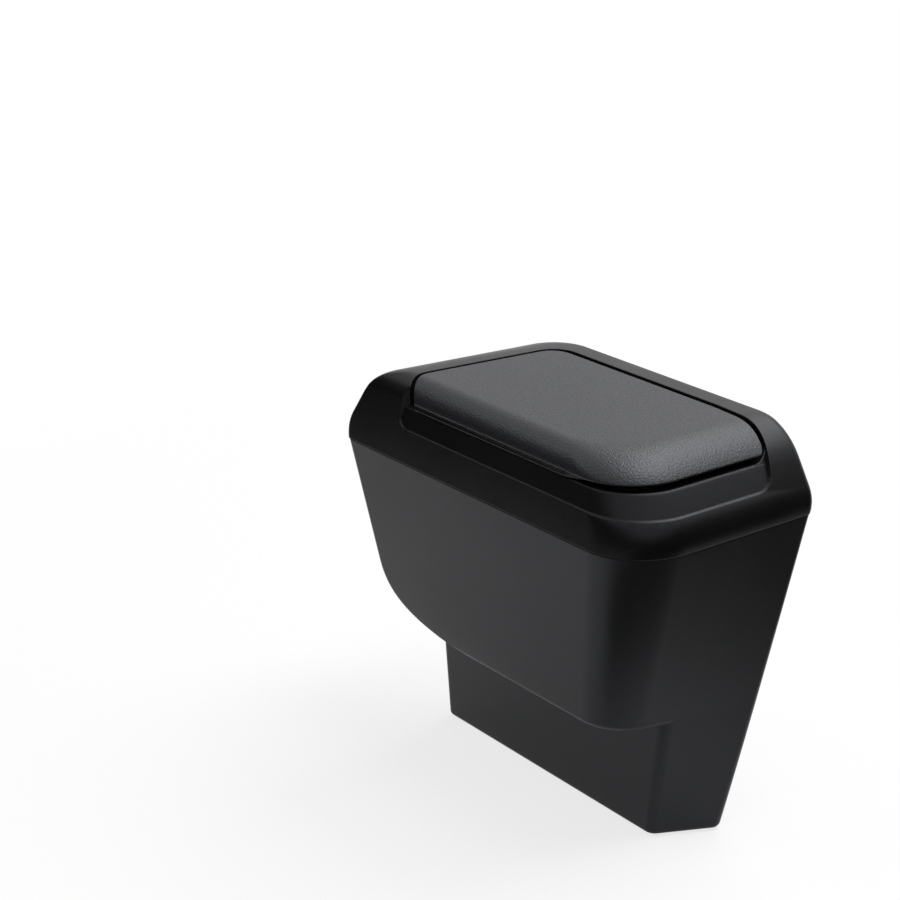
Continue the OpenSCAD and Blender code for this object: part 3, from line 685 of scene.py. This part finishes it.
def makeRim():
    rim = loaf("rim", 0, 0, rimValues["height"])
    cut(rim, recess())
    cut(rim, trough("troughCut", 0))
    cut(rim, rimHollow())
    seatZ = plateauZ - mouthValues["ringThickness"]
    add(rim, mouth("collar", mouthValues["collarWall"], plateauZ - mouthValues["collarDepth"],
                   seatZ - mouthValues["collarDrop"]))
    add(rim, rib())
    cut(rim, mouth("mouthCut", 0, 0, rimValues["height"]))
    cut(rim, mouth("ringSeat", mouthValues["flange"] + mouthValues["ringFit"], seatZ, rimValues["height"]))
    return smooth(rim)


# The lid: a grained cover and the smooth liner below it

def lidForm(name, w, z0, z1):
    return keep(loaf(name, w, z0, z1), prism("plan", lidPlan(-w), z0 - 1, overTop))


def linerPrism(name, e):
    plan = outline(
        [farPoint(lidFarX - e, -lidY0 - 2),
         (linerEndX + e, -sideY(linerZ, -e, rimValues["sideEdge"], rimValues["sideLean"])),
         (linerEndX + e, lidY1 + 2), farPoint(lidFarX - e, lidY1 + 2)],
        [1, lidValues["linerCorner"] + e, lidValues["linerBackCorner"], 1])
    return prism(name, plan, linerZ - 1, linerZ + lidValues["linerCut"])


def linerForm(name, w, z0):
    return keep(lidForm(name, w, z0, coverEdge), linerPrism("linerPlan", -w))


def makeCover():
    edge, wall = lidValues["edge"], lidValues["coverWall"]
    rings = [loafRing(coverEdge + edge * (1 - cos(a)), edge * (1 - sin(a))) for a in range(0, 90, 10)]
    rings += [loafRing(z, 0) for z in loafLevels(0, coverEdge + edge, rimValues["height"])]
    cover = keep(loft("lidCover", rings), prism("plan", lidPlan(0), coverEdge - 1, overTop))
    hollow = lidForm("coverHollow", wall, coverEdge - 1, rimValues["height"] - wall)
    fingers = linerPrism("fingerWall", 0)
    cut(fingers, linerPrism("fingerInner", -lidValues["fingerWall"]))
    cut(hollow, fingers)
    cut(cover, hollow)
    cut(cover, hiddenCorner("coverCorner", lidValues["coverCorner"], 0, lidValues["backSlope"], coverEdge))
    cut(cover, tailCut())
    cut(cover, hingePocket(hingeValues["coverPocket"]))
    earPockets(cover)
    return smooth(cover)


def knuckle(y0, y1):
    r, reach = hingeValues["knuckleRadius"], hingeValues["neckReach"]
    low, high = linerZ - hingeZ, linerZ + lidValues["linerThickness"] - hingeZ
    neck = [(-1, hingeValues["neckDrop"] - r), (3, low), (reach, low), (reach, high), (r, 0)]
    return add(hingeRod("knuckle", r, y0, y1, 40), hingeProfile("neck", neck, y0, y1))


def makeLiner():
    inset = lidValues["linerIn"]
    liner = linerForm("lidLiner", inset, linerZ)
    cut(liner, linerForm("tray", inset + lidValues["trayWall"], linerZ + lidValues["linerThickness"]))
    cut(liner, tailCut())
    cut(liner, hingePocket(hingeValues["linerPocket"]))
    outside = hingeValues["halfSpan"] - hingeValues["ear"] - hingeValues["knuckleRoom"]
    inside = outside - hingeValues["knuckleLength"]
    for y0, y1 in ((-outside, -inside), (inside, outside)):
        add(liner, knuckle(y0, y1))
    earPockets(liner)
    cut(liner, hingeRod("pinBore", hingeValues["bore"], -hingeValues["boreEnd"], hingeValues["boreEnd"], 32))
    return smooth(liner)


print("building the shells")
body = makeBody()
rim = makeRim()
cover = makeCover()
liner = makeLiner()


# Shader maths as expressions: a Value wraps a socket, and a Shader makes the nodes

class Value:
    def __init__(self, shader, socket):
        self.shader = shader
        self.socket = socket

    def math(self, operation, other):
        return self.shader.node("ShaderNodeMath", {0: self, 1: other}, operation=operation)

    def __add__(self, other):
        return self.math("ADD", other)

    def __radd__(self, other):
        return self.math("ADD", other)

    def __sub__(self, other):
        return self.math("SUBTRACT", other)

    def __rsub__(self, other):
        return self.shader.node("ShaderNodeMath", {0: other, 1: self}, operation="SUBTRACT")

    def __mul__(self, other):
        return self.math("MULTIPLY", other)

    def __rmul__(self, other):
        return self.math("MULTIPLY", other)


class Shader:
    def __init__(self, owner):
        self.owner = owner  # a material or the world
        owner.use_nodes = True
        self.tree = owner.node_tree
        self.tree.nodes.clear()

    def node(self, kind, inputs=None, output=0, **settings):
        made = self.tree.nodes.new(kind)
        for name, value in settings.items():
            setattr(made, name, value)
        for name, value in (inputs or {}).items():
            if isinstance(value, Value):
                self.tree.links.new(value.socket, made.inputs[name])
            else:
                made.inputs[name].default_value = value
        return Value(self, made.outputs[output]) if made.outputs else made

    def place(self):
        return self.node("ShaderNodeTexCoord", output="Object")

    def distance(self):
        return self.node("ShaderNodeVectorMath", {0: self.place()}, output="Value", operation="LENGTH")

    def noise(self, scale, detail, roughness):
        return self.node("ShaderNodeTexNoise", {"Vector": self.place(), "Scale": scale, "Detail": detail,
                                                "Roughness": roughness})

    def cells(self, scale):
        return self.node("ShaderNodeTexVoronoi", {"Vector": self.place(), "Scale": scale, "Smoothness": 0.35},
                         feature="SMOOTH_F1")

    def creases(self, scale):
        return self.node("ShaderNodeTexVoronoi", {"Vector": self.place(), "Scale": scale},
                         feature="DISTANCE_TO_EDGE")

    def spread(self, value, low, high, toLow, toHigh):
        return self.node("ShaderNodeMapRange", {"Value": value, "From Min": low, "From Max": high,
                                                "To Min": toLow, "To Max": toHigh})

    def blend(self, factor, first, second):
        # the Mix node's colour sockets are 6, 7 and output 2
        return self.node("ShaderNodeMix", {0: factor, 6: (*first, 1), 7: (*second, 1)}, output=2,
                         data_type="RGBA")

    def bump(self, height, values):
        soft = self.node("ShaderNodeBevel", {"Radius": values["rounding"]}, samples=6)
        return self.node("ShaderNodeBump", {"Height": height, "Strength": values["bump"],
                                            "Distance": values["depth"], "Normal": soft})

    def finish(self, inputs):
        surface = self.node("ShaderNodeBsdfPrincipled", inputs)
        self.node("ShaderNodeOutputMaterial", {"Surface": surface})
        return self.owner


coolSheen = (0.90, 0.92, 1.0, 1)  # tint of the plastics' sheen


def newShader(name):
    return Shader(bpy.data.materials.new(name))


def roughnessRange(values):
    return values["roughness"] - values["roughnessSpread"], values["roughness"] + values["roughnessSpread"]


def plastic(name, values):
    shader = newShader(name)
    fine = shader.noise(values["grainScale"], 3.0, 0.6)
    broad = shader.noise(values["cloudScale"], 2.0, 0.5)
    colour = shader.blend(shader.spread(broad, 0.3, 0.7, 0.0, 1.0), values["colour"], values["colourTo"])
    low, high = roughnessRange(values)
    roughness = shader.spread(fine * 0.5 + broad * 0.5, 0.3, 0.7, low, high)
    return shader.finish({"Base Color": colour, "Roughness": roughness, "Normal": shader.bump(fine, values),
                          "Specular IOR Level": values["specular"], "Specular Tint": coolSheen})


def grained(name, values):
    # leather grain: soft cells with creases between them, over fine pores, and painted shade darkening the
    # creases
    shader = newShader(name)
    warp = shader.noise(values["cellScale"] * 0.5, 2.0, 0.5)
    cells = shader.cells(values["cellScale"])
    creases = shader.creases(values["cellScale"] * 0.62)
    pores = shader.noise(values["cellScale"] * 2.4, 2.0, 0.6)
    domes = shader.spread(cells, 0.0, 0.7, 1.0, 0.0)
    folds = shader.spread(creases, 0.0, 0.22, 0.0, 1.0)
    height = domes * 0.55 + folds * 0.3 + pores * 0.15 + warp * 0.2
    # painted shade: the crease mask takes the colour towards the darker colourTo in the creases and the
    # lighter colour on the cells
    colour = shader.blend(shader.spread(creases, 0.0, 0.2, 0.0, 1.0), values["colourTo"], values["colour"])
    low, high = roughnessRange(values)
    roughness = shader.spread(height, 0.3, 1.1, high, low)
    return shader.finish({"Base Color": colour, "Roughness": roughness, "Normal": shader.bump(height, values),
                          "Specular IOR Level": values["specular"], "Specular Tint": coolSheen})


def metal(name, values):
    shader = newShader(name)
    fine = shader.noise(values["grainScale"], 2.0, 0.5)
    low, high = roughnessRange(values)
    roughness = shader.spread(fine, 0.3, 0.7, low, high)
    colour = shader.blend(fine, values["colour"], values["colourTo"])
    return shader.finish({"Base Color": colour, "Metallic": 1.0, "Roughness": roughness})


# One finish for each kind of surface; scales are per metre, depth and rounding in metres
print("making the materials")

bodyFinish = {
    "colour": (0.0085, 0.0085, 0.0090), "colourTo": (0.0100, 0.0100, 0.0106), "specular": 0.33,
    "roughness": 0.37, "roughnessSpread": 0.04, "grainScale": 2600.0, "cloudScale": 18.0,
    "bump": 0.16, "depth": 0.0002, "rounding": 0.0008,
}
bodyPlastic = plastic("bodyPlastic", bodyFinish)

rimFinish = {
    "colour": (0.0056, 0.0056, 0.0058), "colourTo": (0.0070, 0.0070, 0.0072), "specular": 0.23,
    "roughness": 0.36, "roughnessSpread": 0.05, "grainScale": 1500.0, "cloudScale": 22.0,
    "bump": 0.36, "depth": 0.0002, "rounding": 0.0009,
}
rimPlastic = plastic("rimPlastic", rimFinish)

linerFinish = {
    "colour": (0.0060, 0.0060, 0.0063), "colourTo": (0.0070, 0.0070, 0.0073), "specular": 0.5,
    "roughness": 0.22, "roughnessSpread": 0.03, "grainScale": 1500.0, "cloudScale": 30.0,
    "bump": 0.03, "depth": 0.0001, "rounding": 0.0005,
}
linerPlastic = plastic("linerPlastic", linerFinish)

ringFinish = {
    "colour": (0.020, 0.020, 0.021), "colourTo": (0.023, 0.023, 0.024), "specular": 0.5,
    "roughness": 0.42, "roughnessSpread": 0.04, "grainScale": 1800.0, "cloudScale": 25.0,
    "bump": 0.08, "depth": 0.0001, "rounding": 0.0004,
}
ringPlastic = plastic("ringPlastic", ringFinish)

rubberFinish = {
    "colour": (0.010, 0.010, 0.010), "colourTo": (0.014, 0.014, 0.014), "specular": 0.3,
    "roughness": 0.85, "roughnessSpread": 0.05, "grainScale": 1400.0, "cloudScale": 30.0,
    "bump": 0.2, "depth": 0.0002, "rounding": 0.0004,
}
rubber = plastic("softRubber", rubberFinish)

# colourTo here is the darker colour of the shade painted into the grain's creases
lidFinish = {
    "colour": (0.0118, 0.0121, 0.0130), "colourTo": (0.0075, 0.0077, 0.0083), "specular": 0.42,
    "roughness": 0.40, "roughnessSpread": 0.05, "cellScale": 850.0,
    "bump": 0.55, "depth": 0.0003, "rounding": 0.0008,
}
lidGrain = grained("lidGrain", lidFinish)

steelFinish = {
    "colour": (0.50, 0.50, 0.51), "colourTo": (0.60, 0.60, 0.61),
    "roughness": 0.32, "roughnessSpread": 0.06, "grainScale": 1200.0,
}
steel = metal("platedSteel", steelFinish)


def dress(target, material):
    target.data.materials.clear()
    target.data.materials.append(material)


# The four shells replace their solids
for piece, riding, node, material, slot in (
        (body, "bin", "body_shell", bodyPlastic, "body_black"),
        (rim, "bin", "rim_cover", rimPlastic, "rim_black"),
        (cover, "lid", "lid_cover", lidGrain, "lid_grain"),
        (liner, "lid", "lid_liner", linerPlastic, "liner_gloss")):
    dress(piece, material)
    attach(piece, riding)
    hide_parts(node)

# The small pieces keep the meshes of the frame
for node, material in (("bag_ring", ringPlastic), ("foot_pad", rubber), ("lid_bumpers", rubber),
                       ("hinge_bracket", ringPlastic), ("bracket_screws", steel), ("hinge_pin", steel),
                       ("pin_clips", steel), ("lid_screws", steel)):
    dress(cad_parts[node], material)
    smooth(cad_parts[node], degrees=30)


# The studio, in metres: a pale floor, black flags for the sheen, a soft sky and three lamps

studioValues = {
    "reach": 4.0,                 # half size of the floor
    "floor": (0.62, 0.62, 0.62),
    "shadowLevel": 0.24,          # how much of the lit floor shows through its glow, to the camera
    "sheenShadow": 0.50,          # the same in the plastic's sheen
    "shadowReach": (0.25, 0.75),  # where that share starts to fade and where it ends
    "worldLevel": 0.25,
    # each flag is a band on the floor, given by x, y and height
    "farFlag": [(-0.75, 0.22, 0.50), (-0.70, -0.20, 0.55), (-0.45, -0.50, 0.70), (0.05, -0.60, 0.50),
                (0.50, -0.45, 0.30), (0.55, 0.0, 0.30), (0.45, 0.35, 0.30)],
    "nearFlag": [(0.10, -0.17, 0.10), (0.17, -0.14, 0.12), (0.22, -0.09, 0.20), (0.24, 0.0, 0.26),
                 (0.24, 0.14, 0.27), (0.18, 0.30, 0.26)],
    # name, place, target, size and power
    "lamps": [("topLamp", (0.0, 0.85, 1.45), (0, 0, 0.2), (1.4, 0.7), 16),
              ("leftLamp", (-1.1, -1.0, 1.3), (0, 0, 0.12), (0.9, 1.2), 5),
              ("rightLamp", (0.30, 0.25, 1.6), (0.1, 0, 0.2), (0.6, 0.6), 8)],
}


def cameraRays(shader):
    return shader.node("ShaderNodeLightPath", output="Is Camera Ray")


def backdropRays(shader):
    # camera, glossy and transmission rays all see the pale studio
    glossy = shader.node("ShaderNodeLightPath", output="Is Glossy Ray")
    passing = shader.node("ShaderNodeLightPath", output="Is Transmission Ray")
    return (cameraRays(shader) + glossy + passing).math("MINIMUM", 1.0)


def paleFloor(name, values):
    # those rays see a white glow with a little of the lit floor in it, so a shadow still shows
    shader = newShader(name)
    matte = shader.node("ShaderNodeBsdfDiffuse", {"Color": (*values["floor"], 1)})
    paper = shader.node("ShaderNodeBsdfDiffuse", {"Color": (1, 1, 1, 1)})
    glow = shader.node("ShaderNodeEmission", {"Color": (1, 1, 1, 1), "Strength": 1.0})
    share = values["sheenShadow"] - cameraRays(shader) * (values["sheenShadow"] - values["shadowLevel"])
    fade = shader.spread(shader.distance(), *values["shadowReach"], 1.0, 0.0) * share
    lit = shader.node("ShaderNodeMixShader", {0: fade, 1: glow, 2: paper})
    surface = shader.node("ShaderNodeMixShader", {0: backdropRays(shader), 1: matte, 2: lit})
    shader.node("ShaderNodeOutputMaterial", {"Surface": surface})
    return shader.owner


def flagBlack(name):
    return newShader(name).finish({"Base Color": (0.004, 0.004, 0.004, 1), "Roughness": 1.0,
                                   "Specular IOR Level": 0.0})


def stageMesh(name, points, faces, material):
    data = bpy.data.meshes.new(name)
    data.from_pydata(points, [], faces)
    made = bpy.data.objects.new(name, data)
    bpy.context.scene.collection.objects.link(made)
    dress(made, material)
    return made


def flag(name, band, material):
    # seen only in the sheen of the plastic
    points = [(x, y, z) for x, y, height in band for z in (0.0, height)]
    faces = [(2 * i, 2 * i + 2, 2 * i + 3, 2 * i + 1) for i in range(len(band) - 1)]
    made = stageMesh(name, points, faces, material)
    made.visible_camera = False
    made.visible_diffuse = False
    made.visible_shadow = False


def softSky(values):
    world = bpy.data.worlds.new("studio")
    bpy.context.scene.world = world
    sky = Shader(world)
    soft = sky.node("ShaderNodeBackground", {"Color": (1, 1, 1, 1), "Strength": values["worldLevel"]})
    white = sky.node("ShaderNodeBackground", {"Color": (1, 1, 1, 1), "Strength": 1.0})
    surface = sky.node("ShaderNodeMixShader", {0: backdropRays(sky), 1: soft, 2: white})
    sky.node("ShaderNodeOutputWorld", {"Surface": surface})


def lamp(name, place, target, size, power):
    data = bpy.data.lights.new(name, "AREA")
    data.shape = "RECTANGLE"
    data.size, data.size_y = size
    data.energy = power
    made = bpy.data.objects.new(name, data)
    bpy.context.scene.collection.objects.link(made)
    made.location = place
    made.rotation_euler = (Vector(target) - Vector(place)).to_track_quat("-Z", "Y").to_euler()


print("lighting")
reach = studioValues["reach"]
floorPoints = at([(-reach, -reach), (reach, -reach), (reach, reach), (-reach, reach)], 0)
stageMesh("floor", floorPoints, [(0, 1, 2, 3)], paleFloor("paleFloor", studioValues))
black = flagBlack("flagBlack")
for name in ("farFlag", "nearFlag"):
    flag(name, studioValues[name], black)
softSky(studioValues)
for values in studioValues["lamps"]:
    lamp(*values)


# The camera stands where the photo was taken from

cameraValues = {
    "place": (0.81108, -0.70166, 0.58262),
    "forward": (-0.74488, 0.56971, -0.34726),
    "lens": 84.1,
    "sensor": 36.0,
}


def setCamera(values):
    forward = Vector(values["forward"]).normalized()
    side = forward.cross(Vector((0, 0, 1))).normalized()
    up = side.cross(forward)
    data = bpy.data.cameras.new("camera")
    data.lens = values["lens"]
    data.sensor_width = values["sensor"]
    camera = bpy.data.objects.new("camera", data)
    bpy.context.scene.collection.objects.link(camera)
    turn = Matrix((side, up, -forward)).transposed()
    camera.matrix_world = Matrix.Translation(Vector(values["place"])) @ turn.to_4x4()
    bpy.context.scene.camera = camera


setCamera(cameraValues)
bpy.context.scene.view_settings.view_transform = "Standard"
